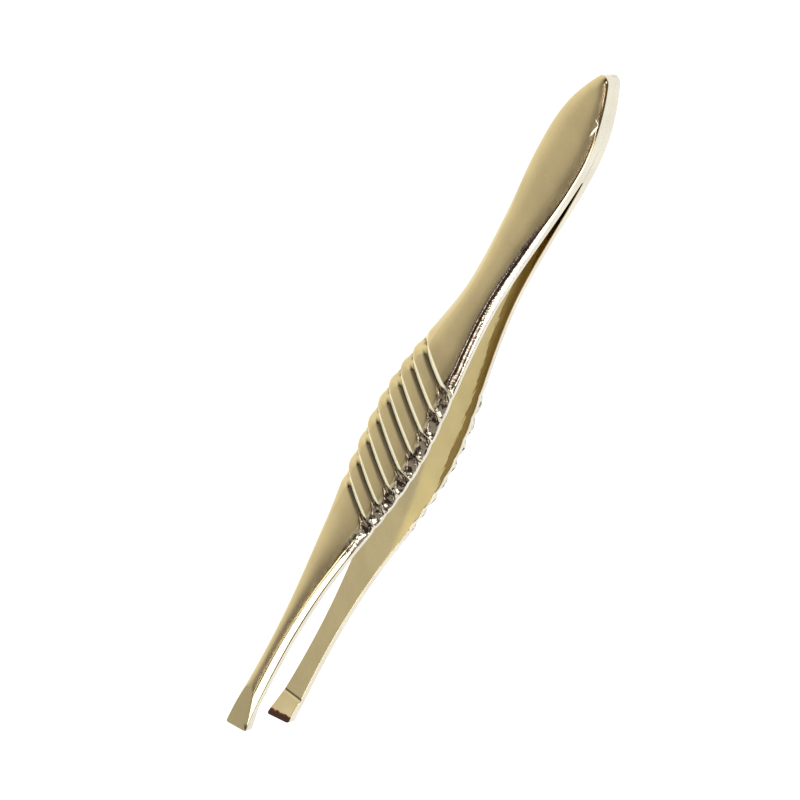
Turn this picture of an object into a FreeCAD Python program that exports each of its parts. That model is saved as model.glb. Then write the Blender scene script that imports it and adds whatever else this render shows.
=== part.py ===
"""Slant tweezers: two pressed spring arms, welded together at the heel.

The arms are mirror images about the plane Y = 0.  While they are modelled, X runs from the nose of
the heel to the tips, Y is the way the arms open and Z runs across their width.  At the end every
piece is moved so that the origin is under the middle of the tweezers as they lie on their edge.
"""
import FreeCAD, Part
import math
import os

Vector = FreeCAD.Vector

doc = FreeCAD.newDocument("slant_tweezers")

# Driving dimensions in mm and degrees: alias, value, meaning
dimensions = [
    ("length", 95.0, "nose of the heel to the longer corner of the tips"),
    ("nose_radius", 0.9, "rounded point of the heel"),
    ("leaf_width", 6.4, "widest part of the heel"),
    ("leaf_place", 10.0, "nose to the widest part of the heel"),
    ("waist_width", 4.5, "narrow spring stretch between heel and grip"),
    ("waist_place", 28.0, "nose to the waist"),
    ("grip_width", 8.7, "widest part of the ribbed grip"),
    ("grip_place", 48.5, "nose to the widest part of the grip"),
    ("taper_width", 5.6, "width part of the way from grip to neck"),
    ("neck_width", 2.4, "narrowest part behind the tips"),
    ("neck_from_tip", 13.0, "tips back to the neck"),
    ("tip_width", 3.6, "width across the tips"),
    ("slant_angle", 30.0, "slant of the tip edge, from square"),
    ("edge_height", 0.8, "flat side edge of an arm"),
    ("leaf_crown", 0.5, "crown of the outer face above the side edge, at the heel"),
    ("waist_crown", 0.4, "the same at the waist"),
    ("grip_crown", 0.65, "the same at the grip"),
    ("neck_crown", 0.65, "the same at the neck"),
    ("seam_gap", 0.16, "weld metal between the two arms"),
    ("seam_length", 11.0, "nose to the end of the weld, where the arms part"),
    ("waist_gap", 1.9, "gap between the inner faces at the waist"),
    ("grip_gap", 4.3, "gap between the inner faces at the grip"),
    ("blade_gap", 5.9, "gap between the inner faces in front of the bend"),
    ("tip_gap", 5.4, "gap between the gripping lands, at the tip edges"),
    ("bend_length", 5.0, "tips back to the inward bend"),
    ("land_length", 0.9, "gripping land behind the tip edge"),
    ("land_stock", 0.4, "metal left inside the tips, for grinding the land and the relief"),
    ("relief_angle", 6.0, "inner face behind the land, against the arm's length"),
    ("tip_edge", 0.5, "thickness at the tip edge"),
    ("facet_angle", 9.5, "flat ground facet outside the tips, against the blade"),
    ("groove_count", 8.0, "grooves across the grip"),
    ("groove_pitch", 2.7, "groove to groove along the arm"),
    ("groove_first", 39.45, "nose to the middle of the first groove"),
    ("groove_angle", 20.3, "slant of the grooves, from square"),
    ("groove_depth", 0.45, "depth of a groove on the crest of the crown"),
    ("groove_notch", 0.15, "depth of a groove's notch in the side edge"),
    ("flex_place", 22.0, "nose to the middle of the stretch that bends"),
    ("flex_slit", 0.1, "clearance between the heel and the blade of one arm"),
    ("overrun", 1.0, "how far cutters and blanks run past the finished faces"),
]
sheet = doc.addObject("Spreadsheet::Sheet", "Dimensions")
for row, (alias, value, meaning) in enumerate(dimensions, start=1):
    sheet.set(f"A{row}", alias)
    sheet.set(f"B{row}", str(value))
    sheet.set(f"C{row}", meaning)
    sheet.setAlias(f"B{row}", alias)
doc.recompute()


def size(alias):
    """One driving dimension, read from the sheet."""
    return float(sheet.get(alias))


# Places along the arm that follow from the driving dimensions
length = size("length")
grip_place = size("grip_place")
neck_place = length - size("neck_from_tip")
bend_place = length - size("bend_length")
taper_share = 0.42       # where between grip and neck the taper width is measured
taper_place = grip_place + taper_share * (neck_place - grip_place)
overrun = size("overrun")
room = 3.0 * size("grip_width")

# Slopes of the outline and the inner face where they aren't level
taper_slope = -0.145
tip_flare = 0.11
apex_slope = 0.035
waist_slope = 0.064
grip_slope = 0.045
blade_slope = 0.01
bend_slope = -0.1
stock_lead = 1.5         # how far before the bend the stock for grinding begins
thin_stock = 0.1         # metal left on the seam face and on the lands, for their grinding
taper_bow = 0.14         # how far the arm bows out beyond the straight line at the taper


def curve_through(knots, place):
    """Cubic Hermite curve through (place, value, slope) knots, level with the end knots outside."""
    if place <= knots[0][0]:
        return knots[0][1]
    for (x0, value0, slope0), (x1, value1, slope1) in zip(knots, knots[1:]):
        if place <= x1:
            span = x1 - x0
            u = (place - x0) / span
            return (value0 * (1 + 2 * u) * (1 - u) ** 2 + value1 * u * u * (3 - 2 * u)
                    + span * (slope0 * u * (1 - u) ** 2 - slope1 * u * u * (1 - u)))
    return knots[-1][1] + knots[-1][2] * (place - knots[-1][0])


outline_knots = [
    (size("leaf_place"), size("leaf_width") / 2, 0),
    (size("waist_place"), size("waist_width") / 2, 0),
    (grip_place, size("grip_width") / 2, 0),
    (taper_place, size("taper_width") / 2, taper_slope),
    (neck_place, size("neck_width") / 2, 0),
    (length, size("tip_width") / 2, tip_flare),
]
crown_knots = [
    (size("leaf_place"), size("leaf_crown"), 0),
    (size("waist_place"), size("waist_crown"), 0),
    (grip_place, size("grip_crown"), 0),
    (neck_place, size("neck_crown"), 0),
]
seam_half = size("seam_gap") / 2
gap_knots = [
    (0, seam_half - thin_stock, 0),
    (size("seam_length"), seam_half, apex_slope),
    (size("waist_place"), size("waist_gap") / 2, waist_slope),
    (grip_place, size("grip_gap") / 2, grip_slope),
    (taper_place, (size("grip_gap") + size("blade_gap")) / 4 + taper_bow, blade_slope * 2),
    (bend_place, size("blade_gap") / 2, blade_slope),
    (length, size("tip_gap") / 2 - thin_stock, bend_slope),
]
stock_knots = [
    (bend_place - stock_lead, 0, 0),
    (length - size("land_length") - size("tip_width") * math.tan(math.radians(size("slant_angle"))),
     size("land_stock"), 0),
]


def half_width(place):
    return curve_through(outline_knots, place)


def half_gap(place):
    return curve_through(gap_knots, place)


def crown(place):
    return curve_through(crown_knots, place)


def plan_wire():
    """Outline of an arm across its width: a pointed heel, the waist, the grip and the flared tip."""
    nose = size("nose_radius")
    leaf_place, leaf_half = outline_knots[0][:2]
    # the flank arc is level at the leaf's widest point and touches the nose circle from outside
    reach = leaf_place - nose
    flank = (reach ** 2 + leaf_half ** 2 - nose ** 2) / (2 * (leaf_half - nose))
    lean = math.atan2(reach, flank - leaf_half)
    middle = lean / 2

    def flank_point(angle, side):
        return Vector(leaf_place - flank * math.sin(angle), 0,
                      side * (leaf_half - flank + flank * math.cos(angle)))

    upper = flank_point(lean, 1)
    lower = flank_point(lean, -1)
    edges = [Part.Arc(lower, Vector(0, 0, 0), upper).toShape()]
    for side in (1, -1):
        ends = (flank_point(lean, side), flank_point(middle, side), flank_point(0, side))
        edges.append(Part.Arc(*ends).toShape())
        for (x0, value0, slope0), (x1, value1, slope1) in zip(outline_knots, outline_knots[1:]):
            third = (x1 - x0) / 3
            bezier = Part.BezierCurve()
            bezier.setPoles([Vector(x0, 0, side * value0),
                             Vector(x0 + third, 0, side * (value0 + slope0 * third)),
                             Vector(x1 - third, 0, side * (value1 - slope1 * third)),
                             Vector(x1, 0, side * value1)])
            edges.append(bezier.toShape())
    tip_half = outline_knots[-1][1]
    edges.append(Part.makeLine(Vector(length, 0, tip_half), Vector(length, 0, -tip_half)))
    return Part.Wire(Part.__sortEdges__(edges))


def strip_section(place):
    """Section of the bowed strip: flat inner face, crowned outer face, a little over-wide."""
    side_run = 0.3
    half = half_width(place)
    wide = half + side_run
    inner = half_gap(place)
    top = inner + size("edge_height") + crown(place)
    fall = crown(place) * (wide / half) ** 2
    stock = curve_through(stock_knots, place)
    low_left = Vector(place, inner - stock, -wide)
    low_right = Vector(place, inner - stock, wide)
    high_left = Vector(place, top - fall, -wide)
    high_right = Vector(place, top - fall, wide)
    arch = Part.BezierCurve()
    arch.setPoles([high_right, Vector(place, top + fall, 0), high_left])
    return Part.Wire([Part.makeLine(low_left, low_right), Part.makeLine(low_right, high_right),
                      arch.toShape(), Part.makeLine(high_left, low_left)])


def add_shape(name, shape):
    feature = doc.addObject("Part::Feature", name)
    feature.Shape = shape
    return feature


def add_boolean(kind, name, base, tool):
    """Part::Cut or Part::Common of two objects."""
    feature = doc.addObject(kind, name)
    feature.Base = base
    feature.Tool = tool
    return feature


def add_plane_cutter(name, point, normal):
    """A block whose bottom face passes through the point and which fills the side of the normal."""
    block = doc.addObject("Part::Box", name)
    for side in ("Length", "Width", "Height"):
        block.setExpression(side, "Dimensions.grip_width * 3")
    turn = FreeCAD.Rotation(Vector(0, 0, 1), normal)
    corner = point - turn.multVec(Vector(room / 2, room / 2, 0))
    block.Placement = FreeCAD.Placement(corner, turn)
    return block


# Section of a groove: the radius of its flanks and the run-out beyond them, as shares of the pitch,
# the angles of a flank at the bottom and at the rib's crest, and how far it is swept to each side
flank_share = 0.8
mouth_share = 0.4
flank_steep = 40
flank_level = 8
half_sweep = 60


def groove_cutter(number):
    """Groove swept round the crown, so that it also notches both side edges."""
    middle = size("groove_first") + number * size("groove_pitch")
    depth = size("groove_depth")
    thickness = size("edge_height") + crown(middle)
    notch_half = half_width(middle) - size("groove_notch")
    wrap = (notch_half ** 2 + thickness ** 2 - depth ** 2) / (2 * (thickness - depth))
    # flank of the groove: an arc that is steep at the bottom and nearly level at the rib's crest
    steep, level = math.radians(flank_steep), math.radians(flank_level)
    flank = flank_share * size("groove_pitch")
    arc_run = flank * (math.sin(steep) - math.sin(level))
    arc_rise = flank * (math.cos(level) - math.cos(steep))
    half_turn = (steep + level) / 2
    mid_run = flank * (math.sin(steep) - math.sin(half_turn))
    mid_rise = flank * (math.cos(half_turn) - math.cos(steep))
    run_out = mouth_share * size("groove_pitch")
    rise_out = run_out * math.tan(level)

    bottom = Vector(0, wrap - depth, 0)
    wall = []
    for side in (1, -1):
        arc_end = bottom + Vector(side * arc_run, arc_rise, 0)
        mouth = arc_end + Vector(side * run_out, rise_out, 0)
        corner = mouth + Vector(side * overrun, overrun, 0)
        wall.append(Part.Arc(bottom, bottom + Vector(side * mid_run, mid_rise, 0), arc_end).toShape())
        wall.append(Part.makeLine(arc_end, mouth))
        wall.append(Part.makeLine(mouth, corner))
    wall.append(Part.makeLine(corner, Vector(-corner.x, corner.y, 0)))
    face = Part.Face(Part.Wire(Part.__sortEdges__(wall)))
    face.rotate(Vector(0, 0, 0), Vector(1, 0, 0), -half_sweep)
    ring = face.revolve(Vector(0, 0, 0), Vector(1, 0, 0), 2 * half_sweep)
    ring.rotate(Vector(0, 0, 0), Vector(0, 1, 0), size("groove_angle"))
    ring.translate(Vector(middle, half_gap(middle) + thickness - wrap, 0))
    return ring


# One whole arm, on the +Y side
station_count = 25
first_station = -overrun
station_step = (length + 2 * overrun) / (station_count - 1)
sections = [strip_section(first_station + number * station_step) for number in range(station_count)]
strip = add_shape("strip", Part.makeLoft(sections, True, False))
plan = Part.Face(plan_wire())
plan.translate(Vector(0, -overrun, 0))
plan_prism = add_shape("plan_prism", plan.extrude(Vector(0, room, 0)))
arm = add_boolean("Part::Common", "arm_blank", strip, plan_prism)

seam_cut = doc.addObject("Part::Box", "seam_cut")
seam_cut.setExpression("Length", "Dimensions.flex_place")
seam_cut.setExpression("Width", "Dimensions.seam_gap")
seam_cut.setExpression("Height", "Dimensions.grip_width * 2")
seam_cut.setExpression("Placement.Base.x", "-Dimensions.overrun")
seam_cut.setExpression("Placement.Base.y", "-Dimensions.seam_gap / 2")
seam_cut.setExpression("Placement.Base.z", "-Dimensions.grip_width")
arm = add_boolean("Part::Cut", "arm_with_seam_face", arm, seam_cut)

# The tip: slanted end, ground inner faces and the facet outside
slant = math.radians(size("slant_angle"))
tip_half = size("tip_width") / 2
across = Vector(math.cos(slant), 0, math.sin(slant))        # square to the slanted edge
long_corner = Vector(length, 0, -tip_half)
edge_middle = length - tip_half * math.tan(slant)
land_slope = size("tip_gap") / 2 / (length - size("flex_place"))    # so that the lands close face to face
facet = math.radians(size("facet_angle"))
facet_normal = Vector(math.sin(facet), math.cos(facet), 0)
facet_point = Vector(edge_middle, size("tip_gap") / 2 + size("tip_edge"), 0)


def inner_grinding():
    """Block that grinds the inside of the tip: up to the bend, the relief behind the land, the land."""
    skim = 0.01
    land_place = edge_middle - size("land_length") / math.cos(slant)
    land_inner = size("tip_gap") / 2 - land_slope * (length - land_place)
    bend_inner = half_gap(bend_place) - skim
    bend_line = land_place - (bend_inner - land_inner) / math.tan(math.radians(size("relief_angle")))
    start = bend_place - 3 * stock_lead         # clear of the stock
    beyond = length + 2 * overrun
    profile = [(start, half_gap(start) - skim), (bend_line, bend_inner), (land_place, land_inner),
               (beyond, land_inner + land_slope * (beyond - land_place)),
               (beyond, -overrun), (start, -overrun)]
    corners = [Vector(place, inner, 0) for place, inner in profile]
    along_edge = Vector(-math.sin(slant), -math.sin(slant) * land_slope, math.cos(slant)) * room
    face = Part.Face(Part.makePolygon(corners + corners[:1]))
    face.translate(along_edge * -0.5)
    return face.extrude(along_edge)


tip_cuts = [
    ("slant_cut", add_plane_cutter("slant_block", long_corner, across)),
    ("inner_cut", add_shape("inner_grinding", inner_grinding())),
    ("facet_cut", add_plane_cutter("facet_block", facet_point, facet_normal)),
]
for name, cutter in tip_cuts:
    arm = add_boolean("Part::Cut", name, arm, cutter)

# Grooves across the grip
cutters = [groove_cutter(number) for number in range(int(size("groove_count")))]
grooves = doc.addObject("Part::MultiFuse", "grooves")
grooves.Shapes = [add_shape(f"groove_{number + 1}", cutter) for number, cutter in enumerate(cutters)]
arm = add_boolean("Part::Cut", "arm_grooved", arm, grooves)

# The heel and the blade of one arm, with the slit of the bending stretch between them
heel_block = doc.addObject("Part::Box", "heel_block")
heel_block.setExpression("Length", "Dimensions.flex_place - Dimensions.flex_slit / 2 + Dimensions.overrun")
blade_block = doc.addObject("Part::Box", "blade_block")
blade_block.setExpression("Length", "Dimensions.length")
for block in (heel_block, blade_block):
    block.setExpression("Width", "Dimensions.grip_width * 2")
    block.setExpression("Height", "Dimensions.grip_width * 2")
    block.setExpression("Placement.Base.y", "-Dimensions.overrun")
    block.setExpression("Placement.Base.z", "-Dimensions.grip_width")
heel_block.setExpression("Placement.Base.x", "-Dimensions.overrun")
blade_block.setExpression("Placement.Base.x", "Dimensions.flex_place + Dimensions.flex_slit / 2")
rear_heel = add_boolean("Part::Common", "rear_arm_heel", arm, heel_block)
rear_blade = add_boolean("Part::Common", "rear_arm_blade", arm, blade_block)


def add_mirrored(name, source):
    mirrored = doc.addObject("Part::Mirroring", name)
    mirrored.Source = source
    mirrored.Normal = Vector(0, 1, 0)
    return mirrored


front_heel = add_mirrored("front_arm_heel", rear_heel)
front_blade = add_mirrored("front_arm_blade", rear_blade)

# The weld: a thin layer of fused metal between the heels, ground flush with their edges
seam_block = doc.addObject("Part::Box", "seam_block")
seam_block.setExpression("Length", "Dimensions.seam_length + Dimensions.overrun")
seam_block.setExpression("Width", "Dimensions.seam_gap")
seam_block.setExpression("Height", "Dimensions.grip_width * 2")
seam_block.setExpression("Placement.Base.x", "-Dimensions.overrun")
seam_block.setExpression("Placement.Base.y", "-Dimensions.seam_gap / 2")
seam_block.setExpression("Placement.Base.z", "-Dimensions.grip_width")
heel_weld = add_boolean("Part::Common", "heel_weld", plan_prism, seam_block)

pieces = [front_heel, rear_heel, heel_weld, front_blade, rear_blade]
doc.recompute()

# Stand the tweezers on their edge, with the origin under the middle; a mirrored piece follows its source
lowest = min(piece.Shape.optimalBoundingBox(False).ZMin for piece in pieces)
for piece in (rear_heel, rear_blade, heel_weld):
    piece.Placement = FreeCAD.Placement(Vector(-length / 2, 0, -lowest), FreeCAD.Rotation())
for piece in pieces:
    piece.Label = piece.Name
doc.recompute()

for thing in doc.Objects:
    if {"Invalid", "Error"} & set(thing.State):
        raise RuntimeError(f"{thing.Name} failed: {thing.State}")
os.makedirs("parts", exist_ok=True)
for piece in pieces:
    shape = piece.Shape
    if shape.isNull() or not shape.isValid() or not shape.Solids:
        raise RuntimeError(f"{piece.Label} isn't a valid solid")
    print(f"{piece.Label}: {len(shape.Solids)} solid, {shape.Volume:.2f} mm3, "
          f"{shape.optimalBoundingBox(False)}")
    shape.exportStep(f"parts/{piece.Label}.step")
print(f"each arm closes in {math.degrees(math.atan(land_slope)):.3f} degrees, lift {-lowest:.3f}")
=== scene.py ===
import math

import bpy
import numpy as np
from mathutils import Matrix, Vector


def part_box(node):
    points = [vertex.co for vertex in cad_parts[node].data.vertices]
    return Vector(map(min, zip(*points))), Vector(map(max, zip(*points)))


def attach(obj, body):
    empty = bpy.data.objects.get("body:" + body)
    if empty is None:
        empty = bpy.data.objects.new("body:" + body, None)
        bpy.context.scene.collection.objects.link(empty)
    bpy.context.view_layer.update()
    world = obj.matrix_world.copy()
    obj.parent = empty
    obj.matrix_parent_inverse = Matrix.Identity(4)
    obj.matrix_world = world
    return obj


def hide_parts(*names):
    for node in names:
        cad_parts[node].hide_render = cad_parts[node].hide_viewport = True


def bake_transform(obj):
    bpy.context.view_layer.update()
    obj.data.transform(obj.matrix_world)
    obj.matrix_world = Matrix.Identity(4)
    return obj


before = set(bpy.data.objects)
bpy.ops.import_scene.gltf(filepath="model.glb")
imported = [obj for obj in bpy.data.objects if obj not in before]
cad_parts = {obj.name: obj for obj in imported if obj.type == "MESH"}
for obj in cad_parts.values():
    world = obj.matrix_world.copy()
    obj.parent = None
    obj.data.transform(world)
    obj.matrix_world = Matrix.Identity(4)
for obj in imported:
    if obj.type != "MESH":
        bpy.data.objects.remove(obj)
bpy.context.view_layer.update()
mm = 0.001

# shared places, read from the frame; sizes below are in mm, X from the nose of the heel
weldLow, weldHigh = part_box("heel_weld")
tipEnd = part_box("front_arm_blade")[1].x
noseX = weldLow.x
midZ = (weldLow.z + weldHigh.z) / 2
armLength = (tipEnd - noseX) / mm
weldLength = (weldHigh.x - noseX) / mm
seamHalf = weldHigh.y / mm


def curveThrough(knots, place):
    # cubic Hermite curve through (place, value) or (place, value, slope) knots; level without a slope
    places, values, slopes = np.array([(*knot, 0)[:3] for knot in knots], float).T
    here = np.clip(np.asarray(place, float).ravel(), places[0], places[-1])
    start = np.clip(np.searchsorted(places, here, side="right") - 1, 0, len(places) - 2)
    end = start + 1
    span = places[end] - places[start]
    u = (here - places[start]) / span
    curve = (values[start] * (1 + 2 * u) * (1 - u) ** 2 + values[end] * u * u * (3 - 2 * u)
             + span * (slopes[start] * u * (1 - u) ** 2 - slopes[end] * u * u * (1 - u)))
    return curve.reshape(np.shape(place))


def smoothStep(low, high, value):
    # 0 below low, 1 above high, a smooth cubic between them
    u = np.clip((value - low) / (high - low), 0, 1)
    return u * u * (3 - 2 * u)


def softMin(a, b, ease):
    # smaller of two values, with the corner between them rounded
    return (a + b - np.sqrt((a - b) ** 2 + ease ** 2)) / 2


def quarterTurn(count):
    # even angles from 0 to a right angle
    return np.linspace(0, math.pi / 2, count)


arm = dict(
    noseRadius=0.9, leafPlace=10.0,
    outline=[(10.0, 3.2), (28.0, 2.25), (48.0, 4.37), (62.39, 2.8, -0.145), (82.0, 1.2), (95.0, 1.8, 0.11)],
    gap=[(0, seamHalf), (11.0, seamHalf, 0.035), (28.0, 0.95, 0.064), (48.5, 2.15, 0.045),
         (62.57, 2.69, 0.02), (90.0, 2.95, 0.01)],
    # flat side edge, then the rise of the polished bevel, then the crown of the outer face
    edge=[(0, 0.70), (6, 0.90), (12, 0.88), (20, 0.58), (36, 0.46), (42, 0.46), (58, 0.46), (66, 0.64),
          (88, 0.56)],
    shoulder=[(0, 0.08), (12, 0.09), (20, 0.26), (36, 0.36), (41, 0.76), (58, 0.76), (66, 0.47),
              (84, 0.42), (95, 0.36)],
    crown=[(0, 0.34), (12, 0.38), (28, 0.40), (36, 0.38), (42, 0.24), (58, 0.24), (66, 0.42), (82, 0.50)],
    crownPower=[(10, 4.0), (24, 2.9), (52, 2.9), (64, 2.0)],
    crownNose=2.2,           # nearer the nose the crown keeps the width that the leaf has here
    # rise of the bevel per mm of run; in the grip it is a round roll instead
    bevelSlope=[(14, 0.6), (22, 0.34), (36, 0.36), (66, 0.78), (84, 0.8)],
    rollFrom=(36, 41), rollTo=(60, 65),
    # rounding between side edge and bevel, softness between bevel and crowned face
    bevelCorner=[(12, 0.05), (24, 0.09), (36, 0.12), (66, 0.17), (84, 0.13), (92, 0.08)],
    bevelEase=[(14, 0.05), (34, 0.1), (42, 0.2), (58, 0.2), (66, 0.1), (84, 0.08)],
    bevelMargin=0.3, bevelShare=0.6,             # the bevel's columns go this far past it, up to this share
    edgeBreak=0.06, weldBreak=0.004, breakShare=0.3,     # rounding where the side edge meets the inner face
    weldFade=1.5,            # run past the weld over which that rounding comes in
)
# a rib rises at once from the groove on its heel side, is flat, and slopes down into the next groove
grooves = dict(count=8, first=39.45, pitch=2.7, slant=0.37, leanRun=12, depth=0.34,
               riseShare=0.1, risePower=1.3, fallFrom=0.69, fallPower=1.1,
               notch=0.74, notchInside=0.17, notchDeepens=0.3, knuckle=0.56, knuckleRun=1.2)
tip = dict(half=1.8, slant=math.tan(math.radians(30)), leanFrom=9, leanFull=0.6, cornerRound=0.35,
           bend=5.05, bendSlant=0.36, creaseDepth=0.07, creaseWidth=0.17, flexPlace=22.0,
           land=0.9, landGap=2.7, thickness=0.5, outerDrop=0.1, outerSlope=-0.1,
           facetAngle=math.radians(9.5), facetEase=0.02, facetFade=(-0.02, 0.05))
endRow = armLength - tip["half"] * tip["slant"]          # the slanted edge crosses the middle line here
lastGroove = grooves["first"] + (grooves["count"] - 1) * grooves["pitch"]

# ogive of the heel: a circle at the nose and a big flank arc, level at the leaf's widest place
leafHalf = arm["outline"][0][1]
reach = arm["leafPlace"] - arm["noseRadius"]
flankRadius = (reach ** 2 + leafHalf ** 2 - arm["noseRadius"] ** 2) / (2 * (leafHalf - arm["noseRadius"]))
touchPlace = arm["leafPlace"] - flankRadius * reach / math.hypot(reach, flankRadius - leafHalf)


def halfWidth(place):
    # outline without grooves: nose circle, flank arc, then the Hermite curve
    place = np.asarray(place, float)
    nose = arm["noseRadius"]
    circle = np.sqrt(np.clip(nose ** 2 - (nose - place) ** 2, 0, None))
    square = flankRadius ** 2 - (arm["leafPlace"] - place) ** 2
    flank = leafHalf - flankRadius + np.sqrt(np.clip(square, 0, None))
    return np.where(place < touchPlace, circle,
                    np.where(place < arm["leafPlace"], flank, curveThrough(arm["outline"], place)))


def edgeDistance(place, z, half):
    # distance from a point of the plan to the outline: exact in the heel, by slope elsewhere
    step = 0.01
    slope = (halfWidth(place + step) - halfWidth(place - step)) / (2 * step)
    straight = (half - np.abs(z)) / np.sqrt(1 + slope ** 2)
    flank = flankRadius - np.hypot(arm["leafPlace"] - place, np.abs(z) + flankRadius - leafHalf)
    nose = arm["noseRadius"] - np.hypot(place - arm["noseRadius"], z)
    heel = np.where(np.abs(z) * reach < (arm["noseRadius"] - place) * (flankRadius - leafHalf), nose, flank)
    return np.clip(np.where(place < arm["leafPlace"], heel, straight), 0, None)


def ribShare(row):
    # share of the way from one groove to the next, 0.5 where there are no ribs; row is on the middle line
    pitches = (row - grooves["first"]) / grooves["pitch"]
    ribbed = (pitches > -0.5) & (pitches < grooves["count"] - 0.5)
    return np.where(ribbed, pitches - np.floor(pitches), 0.5)


def nearGroove(row):
    # 1 in a groove, 0 halfway to the next one, as the square of the distance
    return np.abs(2 * ribShare(row) - 1) ** 2


def ribCut(share):
    # section of a rib: a short power curve behind the groove, an almost straight fall before the next
    rise = np.clip(1 - share / grooves["riseShare"], 0, 1) ** grooves["risePower"]
    fall = np.clip((share - grooves["fallFrom"]) / (1 - grooves["fallFrom"]), 0, 1) ** grooves["fallPower"]
    return np.maximum(rise, fall)


def outerBow(x):
    # the bow that the outer face follows: as the inner face, but with a smooth bend at the tips
    tipKnot = (armLength, tip["landGap"] - tip["outerDrop"], tip["outerSlope"])
    return curveThrough(arm["gap"] + [tipKnot], x)


def bendPlace(z):
    # line across the blade where it turns inward
    return armLength - tip["bend"] - tip["bendSlant"] * z


def landPlace(z):
    # line along which the gripping land begins, parallel to the slanted edge
    return armLength - (z + tip["half"]) * tip["slant"] - tip["land"] / math.cos(math.atan(tip["slant"]))


def innerFace(x, z):
    # half gap: the bow, the inward bend in front of the tips and the flat gripping land
    bow = curveThrough(arm["gap"], x)
    closing = tip["landGap"] / (armLength - tip["flexPlace"])
    landLine, bendLine = landPlace(z), bendPlace(z)
    landY = tip["landGap"] + closing * (x - armLength)
    landStart = tip["landGap"] + closing * (landLine - armLength)
    bent = bow + (landStart - bow) * np.clip((x - bendLine) / (landLine - bendLine), 0, 1)
    crease = np.exp(-((x - bendLine - tip["creaseWidth"]) / tip["creaseWidth"]) ** 2)
    return np.where(x > landLine, landY, bent) + tip["creaseDepth"] * crease


def facetHeight(x):
    # plane of the flat facet that is ground outside the tip
    return tip["landGap"] + tip["thickness"] - (x - endRow) * math.tan(tip["facetAngle"])


# numbers of rows in each stretch of the arm and of columns in each part of its D-shaped section
grid = dict(noseRun=3.0, nose=34, leaf=76, rib=29, endRib=16, neck=60, neckEnd=87.5, end=80, edge=9,
            bevel=15, bevelPower=1.5, rounding=4, side=(0.04, 0.5, 0.96),
            inner=15, innerRun=0.9, innerEdge=0.985, crown=39, passes=5)


def noseRows():
    # places of the first rows, closer towards the nose by a cosine
    return grid["noseRun"] * (1 - np.cos(quarterTurn(grid["nose"])))


def rowPlaces():
    # places of the rows on the middle line: close at the nose, beside the grooves and at the tip
    first, pitch = grooves["first"], grooves["pitch"]
    leaf = np.linspace(grid["noseRun"], first - pitch / 2, grid["leaf"])[1:]
    rib = np.sin((np.linspace(0, 1, grid["rib"]) - 0.5) * math.pi) / 2 + 0.5
    grip = [first - pitch / 2 + 0.5 * pitch * np.sin(quarterTurn(grid["endRib"]))[1:]]
    grip += [first + (k + rib[1:]) * pitch for k in range(grooves["count"] - 1)]
    grip += [lastGroove + 0.5 * pitch * (1 - np.cos(quarterTurn(grid["endRib"])))[1:]]
    neck = np.linspace(lastGroove + pitch / 2, grid["neckEnd"], grid["neck"])[1:]
    end = np.linspace(grid["neckEnd"], endRow - tip["cornerRound"], grid["end"])[1:]
    edge = endRow - tip["cornerRound"] * (1 - np.sin(quarterTurn(grid["edge"])))[1:]
    return np.concatenate([noseRows(), leaf] + grip + [neck, end, edge])


def shear(row):
    # how far rows lean along X per mm of Z: with the grooves in the grip, with the slanted edge at the tip
    leanIn, leanOut = grooves["first"], lastGroove + grooves["pitch"]
    lean = grooves["slant"] * smoothStep(leanIn - grooves["leanRun"], leanIn - grooves["pitch"], row)
    lean *= 1 - smoothStep(leanOut, leanOut + grooves["leanRun"], row)
    return lean - tip["slant"] * smoothStep(armLength - tip["leanFrom"], endRow - tip["leanFull"], row)


def armColumns():
    # columns run once round the D-shaped section: side (-1, 0, 1), kind and parameter of each
    bevelPart = np.linspace(0, 1, grid["bevel"]) ** grid["bevelPower"]
    breakPart = quarterTurn(grid["rounding"])
    innerPart = np.linspace(grid["innerRun"], -grid["innerRun"], grid["inner"])
    innerPart = np.concatenate([[grid["innerEdge"]], innerPart, [-grid["innerEdge"]]])
    columns = [(s, "inner", s) for s in innerPart]
    columns += [(-1, "break", a) for a in breakPart]
    columns += [(-1, "side", u) for u in grid["side"]]
    columns += [(-1, "bevel", u) for u in bevelPart]
    columns += [(0, "crown", u) for u in np.linspace(-1, 1, grid["crown"])[1:-1]]
    columns += [(1, "bevel", u) for u in bevelPart[::-1]]
    columns += [(1, "side", u) for u in grid["side"][::-1]]
    columns += [(1, "break", a) for a in breakPart[::-1]]
    side, kind, value = zip(*columns)
    return np.array(side, float), np.array(kind), np.array(value, float)


def bevelShape(rows):
    # at each row: rise of the bevel, rounding of its corner, slope, share of round roll, and its run
    rise = curveThrough(arm["shoulder"], rows)
    corner = np.minimum(curveThrough(arm["bevelCorner"], rows), 0.5 * rise)
    slope = curveThrough(arm["bevelSlope"], rows)
    roll = smoothStep(*arm["rollFrom"], rows) * (1 - smoothStep(*arm["rollTo"], rows))
    run = (rise - corner) / slope * (1 - roll) + rise * roll
    return dict(rise=rise, corner=corner, slope=slope, roll=roll, run=run)


def weldedShare(rows):
    # 1 along the weld, 0 past it
    return 1 - smoothStep(weldLength, weldLength + arm["weldFade"], rows)


def notchShare(kind, value):
    # how much of a groove's notch a column takes: all of it outside, little on the side and inner faces
    inside = grooves["notchInside"]
    bevel = inside + (1 - inside) * smoothStep(0, grooves["notchDeepens"], value)
    return np.select([kind == "crown", kind == "bevel"], [1.0, bevel], inside)


def cornerInset(rows):
    # quarter circle that takes the corners off the slanted edge
    radius = tip["cornerRound"]
    beyond = np.clip(radius - (endRow - rows), 0, radius)
    return radius - np.sqrt(radius ** 2 - beyond ** 2)


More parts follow.
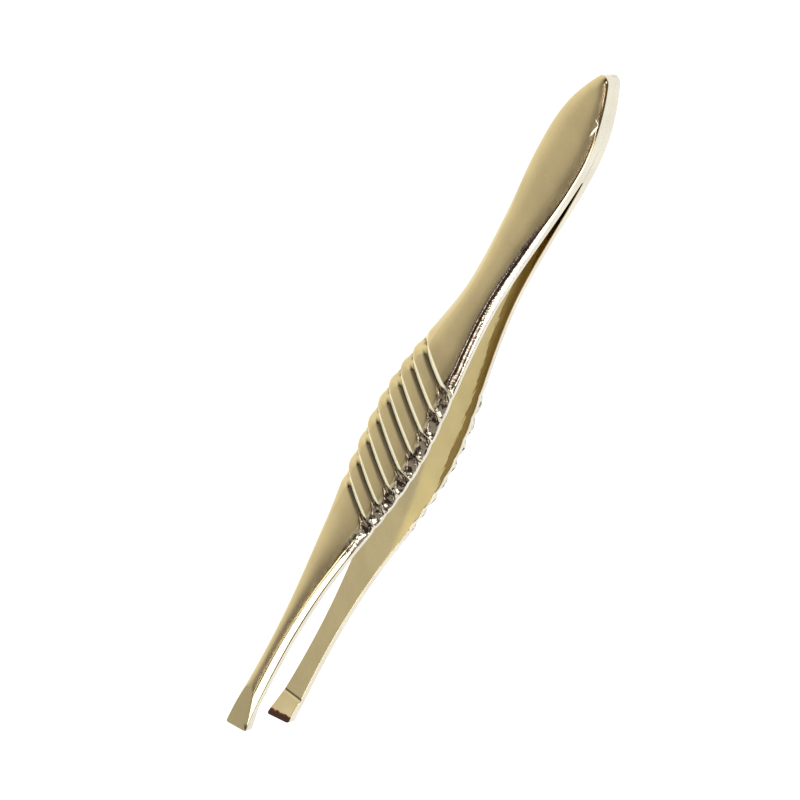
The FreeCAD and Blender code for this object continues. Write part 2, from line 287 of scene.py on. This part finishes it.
def armPlan(rows, columns, bevel):
    # X and Z of every point, rounding of the inner edge there, and distance to the outline
    side, kind, value = columns
    lean = shear(rows)
    skew = np.clip(lean, 0, None)        # in the grip the outline leans with the ribs
    notch = grooves["notch"] * nearGroove(rows) * notchShare(kind, value)
    fullBreak = arm["weldBreak"] + (arm["edgeBreak"] - arm["weldBreak"]) * (1 - weldedShare(rows))
    z = side * halfWidth(rows)
    for _ in range(grid["passes"]):      # Z needs the half width at the place to which it leans
        x = rows + lean * z
        half = np.clip(halfWidth(x - skew * z) - notch - cornerInset(rows), 0, None)
        run = np.minimum(bevel["run"] + arm["bevelMargin"], arm["bevelShare"] * half)
        rounding = np.minimum(fullBreak, arm["breakShare"] * half)
        z = np.select([kind == "crown", kind == "inner", kind == "break", kind == "bevel"],
                      [value * (half - run), value * (half - rounding),
                       side * (half - rounding * (1 - np.sin(value))), side * (half - run * value)],
                      side * half)
    x = np.clip(rows + lean * z, 0, None)
    return dict(x=x, z=z, rounding=rounding, distance=edgeDistance(x - skew * z, z, half))


def outerTop(rows, bevel, plan):
    # outer face: side edge, then bevel or roll, then a power curve for the crown, less grooves and knuckles
    x, distance, rise = plan["x"], plan["distance"], bevel["rise"]
    flat = np.sqrt((bevel["slope"] * distance + bevel["corner"]) ** 2 - bevel["corner"] ** 2)
    flat = np.clip(softMin(flat, rise, curveThrough(arm["bevelEase"], rows)), 0, None)
    rolled = rise * np.sqrt(1 - (1 - np.clip(distance / rise, 0, 1)) ** 2)
    lift = flat * (1 - bevel["roll"]) + rolled * bevel["roll"]
    inward = np.clip(distance / halfWidth(np.maximum(x, arm["crownNose"])), 0, 1)
    crown = curveThrough(arm["crown"], x) * (1 - (1 - inward) ** curveThrough(arm["crownPower"], x))
    # beside the side edges every rib ends in a rounded knuckle
    knuckle = grooves["knuckle"] * nearGroove(rows) * (1 - smoothStep(0, grooves["knuckleRun"], distance))
    cut = grooves["depth"] * ribCut(ribShare(rows))
    return outerBow(x) + curveThrough(arm["edge"], x) + np.clip(lift + crown - cut - knuckle, 0.0, None)


# where the finish and the painted light and shade change; a pair is the start and the end of a fade
finishAndPaintedLight = dict(
    satinStart=[(36, 0.05), (42, 0.3), (58, 0.3), (64, 0.05)], satinEase=0.35,     # after the polished bevel
    grooveShadeWidth=0.1, lowGrooveShadeCut=0.8, lowGrooveShadeRun=(0.5, 1.4),     # less painted shade in a groove at its low end
    # between the fall shares each rib gets a painted highlight
    fallFrom=(0.67, 0.72), fallTo=(0.975, 0.99),               # in shares of a pitch
    # shadedTo is where the painted shade inside the grip fades out
    knuckleRun=(0.6, 1.2), shadedTo=(56, 62),
    streaksFrom=(16, 21), streaksTo=(38, 41), streaksRun=(0.75, 1.05),
    spotFromEnd=2.5, spotFromEdge=0.3, spotRadius=0.42,        # blackened corner of the tip
    # the crease values place the painted shade along the inner crease
    creaseShift=0.1, creaseWidth=0.15, landRun=0.5,
    # width of the strip of painted reflection of the other arm
    stripWidth=[(18, 4.5), (23, 1.5, -0.1), (30, 1.25), (47, 1.1), (57, -0.3)],
    stripFrom=(6, 9), stripRun=0.5,
)


def mirrorStrip(x, z):
    # how far inside the strip of painted reflection along the +Z side of the inner face, where the arms
    # mirror each other
    width = curveThrough(finishAndPaintedLight["stripWidth"], x)
    heelEnd = smoothStep(*finishAndPaintedLight["stripFrom"], x)
    inward = (width - (halfWidth(x) - z)) / finishAndPaintedLight["stripRun"]
    return np.clip(inward, -1, 1) * heelEnd - (1 - heelEnd)


def armZones(rows, columns, bevel, plan, ground):
    # masks for the material: each is 0 to 1 over the surface, or -1 to 1 across a ragged border
    kind = columns[1]
    x, z, distance, share = plan["x"], plan["z"], plan["distance"], ribShare(rows)
    outer = (kind == "crown") | (kind == "bevel")
    inside = (kind == "inner") | (kind == "break")
    upper = outer & (z > 0)
    satinStart = bevel["run"] + curveThrough(finishAndPaintedLight["satinStart"], rows)
    # the painted shade in the grooves is lighter on the -Z side near the edge
    grooveShadeKept = 1 - finishAndPaintedLight["lowGrooveShadeCut"] * (z < 0) * (1 - smoothStep(*finishAndPaintedLight["lowGrooveShadeRun"], distance))
    spot = np.hypot(x - armLength + finishAndPaintedLight["spotFromEnd"], z - tip["half"] + finishAndPaintedLight["spotFromEdge"])
    fall = smoothStep(*finishAndPaintedLight["fallFrom"], share) * (1 - smoothStep(*finishAndPaintedLight["fallTo"], share))
    streaks = smoothStep(*finishAndPaintedLight["streaksFrom"], x) * (1 - smoothStep(*finishAndPaintedLight["streaksTo"], x))
    streaks = streaks * (1 - smoothStep(*finishAndPaintedLight["streaksRun"], distance))
    knuckle = bevel["roll"] * (1 - smoothStep(*finishAndPaintedLight["knuckleRun"], distance))
    crease = np.exp(-((x - bendPlace(z) - finishAndPaintedLight["creaseShift"]) / finishAndPaintedLight["creaseWidth"]) ** 2)
    zones = dict(
        satin=np.where(outer, smoothStep(satinStart, satinStart + finishAndPaintedLight["satinEase"], distance), 0),
        # the side flats take a paler gold, partly a painted highlight
        flank=np.where(kind == "side", 1.0, np.where(kind == "break", weldedShare(rows), 0.0)),
        inside=np.where(inside, 1.0, 0.0),
        facet=np.where(outer, ground, 0),
        # painted shade: dark at the bottom of each groove
        groove=np.where(outer, np.exp(-(share / finishAndPaintedLight["grooveShadeWidth"]) ** 2) * grooveShadeKept, 0),
        # painted highlight: a pale band on each rib's fall
        fall=np.where(outer, fall, 0),
        knuckle=np.where(upper, knuckle, 0),
        # painted shade: the inner faces are darker in the grip
        shaded=np.where(inside, 1 - smoothStep(*finishAndPaintedLight["shadedTo"], x), 0),
        streaks=np.where(upper, streaks, 0),
        tipSpot=np.where(outer, np.exp(-(spot / finishAndPaintedLight["spotRadius"]) ** 4), 0),
        # painted shade along the crease where the tips bend inward
        crease=np.where(inside, crease, 0),
        # painted reflection of the other arm
        mirror=np.where(inside, mirrorStrip(x, z), -1),
        land=np.where(inside, np.clip((x - landPlace(z)) / finishAndPaintedLight["landRun"], -1, 1), -1),
    )
    return {name: np.broadcast_to(mask, x.shape) for name, mask in zones.items()}


def armSurface():
    # point(row, column): rows along the arm, columns round the section; also the zone masks
    rows, columns = rowPlaces()[:, None], armColumns()
    bevel = bevelShape(rows)
    plan = armPlan(rows, columns, bevel)
    kind, value = columns[1:]
    x, z, rounding = plan["x"], plan["z"], plan["rounding"]
    inner, facet = innerFace(x, z), facetHeight(x)
    top = outerTop(rows, bevel, plan)
    ground = smoothStep(*tip["facetFade"], top - facet)
    edgeTop = np.minimum(outerBow(x) + curveThrough(arm["edge"], x), facet)
    y = np.select([kind == "inner", kind == "break", kind == "side"],
                  [inner, inner + rounding * (1 - np.cos(value)),
                   inner + rounding + (edgeTop - inner - rounding) * value],
                  softMin(top, facet, tip["facetEase"]))
    return x, y, z, armZones(rows, columns, bevel, plan, ground)


def gridMesh(name, x, y, z, mirrored=False, zones=None, smooth=True):
    # closed tube of rows and columns; each end is closed by one face
    rowCount, columnCount = x.shape
    turn = -1 if mirrored else 1
    points = np.stack([noseX + x * mm, turn * y * mm, midZ + z * mm], axis=-1)
    index = np.arange(rowCount * columnCount).reshape(rowCount, columnCount)
    ahead = np.roll(index, -1, axis=1)
    quads = np.stack([index[:-1], ahead[:-1], ahead[1:], index[1:]], axis=-1).reshape(-1, 4)
    faces = quads[:, ::turn].tolist()
    faces += [index[0][::-turn].tolist(), index[-1][::turn].tolist()]
    mesh = bpy.data.meshes.new(name)
    mesh.from_pydata(points.reshape(-1, 3), [], faces)
    mesh.polygons.foreach_set("use_smooth", np.full(len(mesh.polygons), smooth))
    for zone, mask in (zones or {}).items():
        layer = mesh.attributes.new(zone, "FLOAT", "POINT")
        layer.data.foreach_set("value", np.ascontiguousarray(mask, dtype=np.float32).ravel())
    mesh.update()
    obj = bpy.data.objects.new(name, mesh)
    bpy.context.scene.collection.objects.link(obj)
    return obj


armX, armY, armZ, zoneMasks = armSurface()
frontArm = gridMesh("front_arm", armX, armY, armZ, mirrored=True, zones=zoneMasks)
rearArm = gridMesh("rear_arm", armX, armY, armZ, zones=zoneMasks)
print("arms built:", len(frontArm.data.polygons), "faces each")

weld = dict(bead=0.6, beadNarrows=0.25, beadFlatness=0.98, rows=90, beadRows=10, across=9)


def weldSurface():
    # section: a thin rectangle as wide as the heel; the end between the arms is a rounded bead
    run = np.linspace(grid["noseRun"], weldLength, weld["rows"])[1:]
    beadEnd = weldLength + weld["bead"] * np.sin(quarterTurn(weld["beadRows"]))[1:]
    places = np.concatenate([noseRows(), run, beadEnd])[:, None]
    bead = np.clip((places - weldLength) / weld["bead"], 0, 1)
    thickness = curveThrough(arm["gap"], places) * np.sqrt(1 - weld["beadFlatness"] * bead ** 2)
    width = halfWidth(places) - weld["beadNarrows"] * bead ** 2
    level = np.linspace(-1, 1, weld["across"])
    wall = np.ones(weld["across"])
    y = np.concatenate([-wall, [0.0], wall, [0.0]]) * thickness
    z = np.concatenate([level, [1.0], level[::-1], [-1.0]]) * width
    return np.broadcast_to(places, y.shape), y, z


heelSeam = gridMesh("heel_seam", *weldSurface(), mirrored=True, smooth=False)
print("weld built")


class Nodes:
    # a short way to add linked nodes to a tree
    def __init__(self, tree):
        self.tree = tree

    def put(self, value, socket):
        if isinstance(value, bpy.types.NodeSocket):
            self.tree.links.new(value, socket)
        else:
            socket.default_value = value

    def add(self, kind, inputs=None, **settings):
        node = self.tree.nodes.new(kind)
        for name, value in settings.items():
            setattr(node, name, value)
        for name, value in (inputs or {}).items():
            self.put(value, node.inputs[name])
        return node

    def math(self, operation, a, b):
        return self.add("ShaderNodeMath", {0: a, 1: b}, operation=operation).outputs[0]

    def product(self, first, *others):
        for other in others:
            first = self.math("MULTIPLY", first, other)
        return first

    def ramp(self, value, low, high, toLow=0.0, toHigh=1.0):
        node = self.add("ShaderNodeMapRange", {"Value": value, "From Min": low, "From Max": high,
                                               "To Min": toLow, "To Max": toHigh},
                        interpolation_type="SMOOTHSTEP")
        return node.outputs["Result"]

    def spread(self, noise, low, high):
        # a noise texture lies mostly between 0.3 and 0.7; spread that over low to high
        return self.ramp(noise, 0.3, 0.7, low, high)

    def mix(self, factor, a, b, blend="MIX"):
        node = self.add("ShaderNodeMix", {0: factor, 6: a, 7: b}, data_type="RGBA", blend_type=blend)
        return node.outputs[2]

    def coats(self, color, layers):
        # colours laid over each other, each through its mask
        for mask, tone in layers:
            color = self.mix(mask, color, tone)
        return color

    def blendValue(self, value, layers):
        # the same for plain values
        for mask, over in layers:
            value = self.add("ShaderNodeMix", {0: mask, 2: value, 3: over}, data_type="FLOAT").outputs[0]
        return value


def newGroup(name, inputs, outputs):
    # an empty node group with named float outputs; an input without a default is a vector
    group = bpy.data.node_groups.new(name, "ShaderNodeTree")
    for title, default in inputs.items():
        kind = "NodeSocketVector" if default is None else "NodeSocketFloat"
        socket = group.interface.new_socket(title, in_out="INPUT", socket_type=kind)
        if default is not None:
            socket.default_value = default
    for title in outputs:
        group.interface.new_socket(title, in_out="OUTPUT", socket_type="NodeSocketFloat")
    return group, Nodes(group), group.nodes.new("NodeGroupInput"), group.nodes.new("NodeGroupOutput")


def platingGrainGroup():
    # fine grain, long brush lines and cloudy tone of a plated surface, and the coarser noises of its wear
    # and of the painted reflection patches
    # scale and detail of each noise; the grain's scale is an input
    noises = {"Grain": (None, 2.0), "Lines": (7000.0, 2.0), "Cloud": (260.0, 3.0), "Hammer": (1500.0, 1.0),
              "Patches": (1900.0, 2.0), "Streaks": (4200.0, 1.0)}
    group, nodes, given, result = newGroup(
        "platingGrain", {"Vector": None, "Grain Scale": 9000.0, "Line Stretch": 0.05}, noises)
    vector = given.outputs["Vector"]
    stretch = nodes.add("ShaderNodeCombineXYZ", {"X": given.outputs["Line Stretch"], "Y": 1.0, "Z": 1.0})
    along = nodes.add("ShaderNodeVectorMath", {0: vector, 1: stretch.outputs[0]}, operation="MULTIPLY")
    tilted = nodes.add("ShaderNodeMapping", {"Vector": vector, "Rotation": (0, 0.6, 0),
                                             "Scale": (1, 0.25, 0.25)})
    vectors = {"Lines": along.outputs[0], "Streaks": tilted.outputs[0]}
    for name, (scale, detail) in noises.items():
        noise = nodes.add("ShaderNodeTexNoise", {"Vector": vectors.get(name, vector), "Detail": detail,
                                                 "Scale": scale or given.outputs["Grain Scale"]})
        if name == "Grain":
            noise.inputs["Roughness"].default_value = 0.7
        nodes.tree.links.new(noise.outputs["Fac"], result.inputs[name])
    return group


def platingWearGroup():
    # tiny bright specks where the plating is chipped, sparse
    group, nodes, given, result = newGroup("platingWear", {"Vector": None, "Amount": 0.1}, ["Specks"])
    cells = nodes.add("ShaderNodeTexVoronoi", {"Vector": given.outputs["Vector"], "Scale": 420.0})
    near = nodes.ramp(cells.outputs["Distance"], 0.07, 0.02)
    chosen = nodes.add("ShaderNodeSeparateColor", {"Color": cells.outputs["Color"]}).outputs["Red"]
    kept = nodes.math("LESS_THAN", chosen, given.outputs["Amount"])
    nodes.tree.links.new(nodes.product(near, kept), result.inputs["Specks"])
    return group


grainGroup = platingGrainGroup()
wearGroup = platingWearGroup()


def leafStroke(place, z, turn, long, thick):
    # one stroke of the scratch in the front leaf: middle, turn about Y, half length and half thickness
    return (noseX + place * mm, -1.55 * mm, midZ + z * mm), turn, long * mm, thick * mm


plating = dict(
    # the edge tone is paler gold for the side flats, partly a painted highlight
    gold=(0.80, 0.685, 0.42, 1), inner=(0.86, 0.76, 0.49, 1), edge=(0.84, 0.78, 0.62, 1),
    # the shaded tone is painted shade inside the grip
    shaded=(0.76, 0.68, 0.46, 1), knuckle=(0.80, 0.73, 0.58, 1), shaft=(0.78, 0.70, 0.58, 1),
    # the fall tone is a painted highlight on the ribs; the olive tone is a painted reflection of the other
    # arm
    facet=(0.70, 0.61, 0.37, 1), fall=(0.90, 0.86, 0.62, 1), paintedArmReflection=(0.34, 0.25, 0.11, 1),
    # the near-black tone is painted shade in the grooves and the crease and painted reflection in the
    # knuckle patches; it also marks the shaft streaks and the dark tip spot
    shadeAndGrime=(0.05, 0.038, 0.03, 1), land=(0.11, 0.062, 0.05, 1), landRim=(0.42, 0.15, 0.07, 1),
    speck=(0.95, 0.9, 0.72, 1), mark=(1.0, 0.97, 0.88, 1),
    scratches=[leafStroke(5.0, 2.22, 0.10, 1.1, 0.16), leafStroke(4.1, 2.0, -1.1, 0.5, 0.08)],
    grainScale=9000.0, lineStretch=0.05, speckAmount=0.1,
    cloudShade=(0.94, 1.03), grainShade=0.05, speckShare=0.6, shadeAndGrimeShare=0.93, grooveShare=0.9,
    streakShare=0.55, mirrorJag=0.35, landJag=0.22,
    # the span over which each mark's border fades
    strokeEdge=(0.05, 0.4), stripEdge=(-0.03, 0.03), streakEdge=(0.42, 0.6), patchEdge=(0.50, 0.46),
    rimEdge=(-0.02, 0.06), landEdge=(0.2, 0.42),
    satinRough=0.38, polishRough=0.08, innerRough=0.12, edgeRough=0.2, facetRough=0.3, fallRough=0.2,
    lineRough=0.03, fallDull=0.7, knuckleDull=0.13, scratchDull=0.7,
    grainLift=0.4, grainHeight=0.000012, hammerHeight=0.0001, streakLift=0.12, weldSatin=0.2,
)


def newPlating(name, *effects):
    # material with effect groups on Object coordinates, each given as the group and its own values
    mat = bpy.data.materials.new(name)
    mat.use_nodes = True
    nodes = Nodes(mat.node_tree)
    place = nodes.add("ShaderNodeTexCoord").outputs["Object"]
    outputs = [nodes.add("ShaderNodeGroup", {"Vector": place, **values}, node_tree=group).outputs
               for group, values in effects]
    return mat, nodes, place, outputs


def brushedFinish(mat, nodes, grain, color, rough, satin):
    # colour, roughness varied by the brush lines, and a fine bump of grain and lines; returns the bump
    shader = mat.node_tree.nodes["Principled BSDF"].inputs
    lines = nodes.spread(grain["Lines"], -plating["lineRough"], plating["lineRough"])
    nodes.put(color, shader["Base Color"])
    nodes.put(nodes.math("ADD", rough, lines), shader["Roughness"])
    height = nodes.math("ADD", nodes.product(grain["Grain"], satin), nodes.product(grain["Lines"], 0.3))
    return nodes.add("ShaderNodeBump", {"Height": height, "Strength": plating["grainLift"],
                                        "Distance": plating["grainHeight"]}).outputs["Normal"]


def scratchStrokes(nodes, place):
    # a soft spot for each stroke, stretched to its length and thickness
    spots = []
    for middle, turn, long, thick in plating["scratches"]:
        spot = nodes.add("ShaderNodeMapping", {"Vector": place, "Rotation": (0, turn, 0), "Location": middle,
                                               "Scale": (long, mm, thick)}, vector_type="TEXTURE")
        spot = nodes.add("ShaderNodeTexGradient", {"Vector": spot.outputs[0]}, gradient_type="SPHERICAL")
        spots.append(nodes.ramp(spot.outputs["Fac"], *plating["strokeEdge"]))
    return spots


def armColor(nodes, zone, grain, specks, scratches):
    # gold, with painted shade inside the grip and paler flanks that are partly a painted highlight; shaded
    # by cloud and grain; then the marks of wear and the painted highlights, shade and reflections
    color = nodes.coats(plating["gold"], [
        (zone["inside"], plating["inner"]), (zone["shaded"], plating["shaded"]),
        (zone["flank"], plating["edge"])])
    shade = nodes.math("ADD", nodes.spread(grain["Cloud"], *plating["cloudShade"]),
                       nodes.spread(grain["Grain"], -plating["grainShade"], plating["grainShade"]))
    shade = nodes.add("ShaderNodeCombineColor", {0: shade, 1: shade, 2: shade}).outputs[0]
    color = nodes.mix(1.0, color, shade, "MULTIPLY")
    # inside, a strip of painted reflection stands for the other arm mirrored there; its border is jagged by
    # the brush lines
    jag = nodes.spread(grain["Lines"], -plating["mirrorJag"], plating["mirrorJag"])
    strip = nodes.ramp(nodes.math("ADD", zone["mirror"], jag), *plating["stripEdge"])
    streak = nodes.ramp(grain["Streaks"], *plating["streakEdge"])
    streak = nodes.product(zone["streaks"], streak, plating["streakShare"])
    # painted reflection: dark patches on the knuckles
    reflectionPatch = nodes.ramp(grain["Patches"], *plating["patchEdge"])
    reflectionPatch = nodes.product(zone["knuckle"], reflectionPatch, plating["shadeAndGrimeShare"])
    # the worn land has a ragged border with a coppery rim
    jag = nodes.spread(grain["Hammer"], -plating["landJag"], plating["landJag"])
    ragged = nodes.math("ADD", zone["land"], jag)
    return nodes.coats(color, [
        (nodes.product(specks, plating["speckShare"]), plating["speck"]),
        # painted highlight on the rib falls, and painted reflection of the other arm in the strip
        (zone["fall"], plating["fall"]), (zone["facet"], plating["facet"]), (strip, plating["paintedArmReflection"]),
        (zone["streaks"], plating["shaft"]), (streak, plating["shadeAndGrime"]),
        (nodes.product(zone["tipSpot"], plating["shadeAndGrimeShare"]), plating["shadeAndGrime"]),
        *[(scratch, plating["mark"]) for scratch in scratches],
        (zone["knuckle"], plating["knuckle"]), (reflectionPatch, plating["shadeAndGrime"]),
        # painted shade in the grooves
        (nodes.product(zone["groove"], plating["grooveShare"]), plating["shadeAndGrime"]),
        # painted shade in the crease
        (nodes.product(zone["crease"], plating["shadeAndGrimeShare"]), plating["shadeAndGrime"]),
        (nodes.ramp(ragged, *plating["rimEdge"]), plating["landRim"]),
        (nodes.ramp(ragged, *plating["landEdge"]), plating["land"])])


def armPlating():
    # polished edges and bevels, satin faces, grooves darkened by painted shade; the zones come from the mesh
    brushed = {"Grain Scale": plating["grainScale"], "Line Stretch": plating["lineStretch"]}
    chipped = {"Amount": plating["speckAmount"]}
    mat, nodes, place, (grain, wear) = newPlating("arm_plating", (grainGroup, brushed), (wearGroup, chipped))
    zone = {name: nodes.add("ShaderNodeAttribute", attribute_name=name).outputs["Fac"] for name in zoneMasks}
    scratches = scratchStrokes(nodes, place)
    color = armColor(nodes, zone, grain, wear["Specks"], scratches)
    rough = nodes.blendValue(plating["polishRough"], [
        (zone["satin"], plating["satinRough"]), (zone["inside"], plating["innerRough"]),
        (zone["flank"], plating["edgeRough"]), (zone["facet"], plating["facetRough"]),
        (zone["fall"], plating["fallRough"])])
    normal = brushedFinish(mat, nodes, grain, color, rough, zone["satin"])
    # scratch, rib flanks and knuckles are dull in part
    dull = nodes.math("MAXIMUM", nodes.product(zone["fall"], plating["fallDull"]),
                      nodes.product(zone["knuckle"], plating["knuckleDull"]))
    bare = nodes.math("MAXIMUM", *scratches)
    dull = nodes.math("MAXIMUM", dull, nodes.product(bare, plating["scratchDull"]))
    shader = mat.node_tree.nodes["Principled BSDF"].inputs
    nodes.put(nodes.math("SUBTRACT", 1.0, dull), shader["Metallic"])
    # the knuckles are beaten, and the streaks slightly scored
    beaten = nodes.math("ADD", nodes.product(grain["Hammer"], zone["knuckle"]),
                        nodes.product(zone["streaks"], plating["streakLift"], grain["Streaks"]))
    bump = nodes.add("ShaderNodeBump", {"Height": beaten, "Strength": 1.0, "Normal": normal,
                                        "Distance": plating["hammerHeight"]})
    nodes.put(bump.outputs["Normal"], shader["Normal"])
    return mat


def weldPlating():
    # plain cloudy gold, ground flush with the edges
    ground = {"Grain Scale": plating["grainScale"], "Line Stretch": plating["lineStretch"]}
    mat, nodes, place, (grain,) = newPlating("weld_plating", (grainGroup, ground))
    color = nodes.mix(grain["Cloud"], plating["inner"], plating["edge"])
    rough = nodes.ramp(grain["Cloud"], 0.2, 0.8, plating["edgeRough"] * 0.9, plating["edgeRough"] * 1.1)
    normal = brushedFinish(mat, nodes, grain, color, rough, plating["weldSatin"])
    shader = mat.node_tree.nodes["Principled BSDF"].inputs
    shader["Metallic"].default_value = 1
    nodes.put(normal, shader["Normal"])
    return mat


armGold = armPlating()
for obj in (frontArm, rearArm):
    obj.data.materials.append(armGold)
heelSeam.data.materials.append(weldPlating())
print("materials made")

# each arm stands in for its heel and blade parts, which are hidden, and the weld that holds the heel
# together goes on the heel
for obj, heelNode, bladeNode, body in ((frontArm, "front_arm_heel", "front_arm_blade", "front_blade"),
                                       (rearArm, "rear_arm_heel", "rear_arm_blade", "rear_blade")):
    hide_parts(heelNode, bladeNode)
    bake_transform(obj)
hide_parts("heel_weld")
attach(heelSeam, "heel")

floorLook = dict(half=3.0, tone=(0.3, 0.3, 0.3, 1), glow=0.85, roughness=0.9)


def paleFloor():
    # a light table, so no shadow is left on it; the metal mirrors the studio below instead
    half = floorLook["half"]
    mesh = bpy.data.meshes.new("floor")
    mesh.from_pydata([(-half, -half, 0), (half, -half, 0), (half, half, 0), (-half, half, 0)], [],
                     [(0, 1, 2, 3)])
    mat = bpy.data.materials.new("pale_floor")
    mat.use_nodes = True
    shader = mat.node_tree.nodes["Principled BSDF"].inputs
    shader["Base Color"].default_value = floorLook["tone"]
    shader["Roughness"].default_value = floorLook["roughness"]
    shader["Emission Color"].default_value = (1, 1, 1, 1)
    shader["Emission Strength"].default_value = floorLook["glow"]
    mesh.materials.append(mat)
    floor = bpy.data.objects.new("floor", mesh)
    floor.visible_glossy = False
    bpy.context.scene.collection.objects.link(floor)


paleFloor()

softbox = dict(direction=(0.58, -0.38, 0.72), distance=1.2, size=(0.95, 0.75), radiance=3.0)


def frontTopBox():
    # flat area light that faces the tweezers; its power follows from the wanted radiance
    width, height = softbox["size"]
    light = bpy.data.lights.new("frontTopBox", "AREA")
    light.shape = "RECTANGLE"
    light.size, light.size_y = width, height
    light.energy = softbox["radiance"] * math.pi * width * height
    obj = bpy.data.objects.new("frontTopBox", light)
    place = Vector(softbox["direction"]).normalized() * softbox["distance"]
    obj.location = place
    obj.rotation_euler = (-place).to_track_quat("-Z", "Y").to_euler()
    bpy.context.scene.collection.objects.link(obj)


frontTopBox()

# tones of the room, and the fades between them by the Y or Z of the direction looked in
room = dict(backdrop=(1.3, 1.3, 1.3, 1), table=(0.99, 0.98, 0.88, 1), frontTable=(0.95, 0.89, 0.74, 1),
            ceiling=(0.13, 0.09, 0.06, 1), dark=(0.06, 0.041, 0.034, 1), lamps=(2.4, 2.2, 2.0, 1),
            wall=(1.04, 1.06, 1.12, 1), frontTableFade=(-0.12, -0.8), lampScale=6.5, lampFade=(0.585, 0.62),
            lampRise=(0.0, 0.06), ceilingFade=(0.42, 0.62), tableFade=(0.08, -0.05),
            backFade=(-0.3, 0.1), wallFade=(0.40, 0.56))


def studioWorld():
    # what the metal mirrors: a white table, a dark front and a pale wall behind; plain pale to the eye
    world = bpy.data.worlds.new("studio")
    bpy.context.scene.world = world
    world.use_nodes = True
    nodes = Nodes(world.node_tree)
    ray = nodes.add("ShaderNodeTexCoord").outputs["Generated"]
    ray = nodes.add("ShaderNodeVectorMath", {0: ray}, operation="NORMALIZE").outputs[0]
    along = nodes.add("ShaderNodeSeparateXYZ", {0: ray}).outputs
    # the table mirrors white straight below and at the back, and fades to the dark front of the room
    front = nodes.mix(nodes.ramp(along["Z"], *room["frontTableFade"]), room["dark"], room["frontTable"])
    lamps = nodes.add("ShaderNodeTexNoise", {"Vector": ray, "Scale": room["lampScale"], "Detail": 0.0})
    lamps = nodes.product(nodes.ramp(lamps.outputs["Fac"], *room["lampFade"]),
                          nodes.ramp(along["Z"], *room["lampRise"]))
    front = nodes.coats(front, [(lamps, room["lamps"]),
                                (nodes.ramp(along["Z"], *room["ceilingFade"]), room["ceiling"])])
    back = nodes.mix(nodes.ramp(along["Z"], *room["tableFade"]), room["ceiling"], room["table"])
    tone = nodes.mix(nodes.ramp(along["Y"], *room["backFade"]), front, back)
    tone = nodes.mix(nodes.ramp(along["Y"], *room["wallFade"]), tone, room["wall"])
    mirrored = nodes.add("ShaderNodeLightPath").outputs["Is Glossy Ray"]
    tone = nodes.mix(mirrored, room["backdrop"], tone)
    nodes.put(tone, world.node_tree.nodes["Background"].inputs["Color"])


studioWorld()
print("studio lit")

# the view: where the eye stands round the tweezers, its roll, and in mm where it aims along the middle line
# and how far it slides left and up from there
view = dict(azimuth=-132.447, elevation=30.357, roll=143.171, distance=0.45, lens=194.74,
            aim=46.0, slide=(2.947, 1.285))


def studioCamera():
    # from the aim: turned to the azimuth and elevation, rolled, then moved back along its own axis
    azimuth, elevation, roll = (math.radians(view[key]) for key in ("azimuth", "elevation", "roll"))
    turn = Matrix.Rotation(azimuth + math.pi / 2, 4, "Z") @ Matrix.Rotation(math.pi / 2 - elevation, 4, "X")
    camera = bpy.data.cameras.new("camera")
    camera.lens = view["lens"]
    camera.clip_start = 0.01
    obj = bpy.data.objects.new("camera", camera)
    aim = Matrix.Translation((noseX + view["aim"] * mm, 0, midZ))
    left, up = view["slide"]
    back = Matrix.Translation((-left * mm, up * mm, view["distance"]))
    obj.matrix_world = aim @ turn @ Matrix.Rotation(roll, 4, "Z") @ back
    bpy.context.scene.collection.objects.link(obj)
    bpy.context.scene.camera = obj


studioCamera()
bpy.context.scene.view_settings.view_transform = "Standard"
print("camera placed")
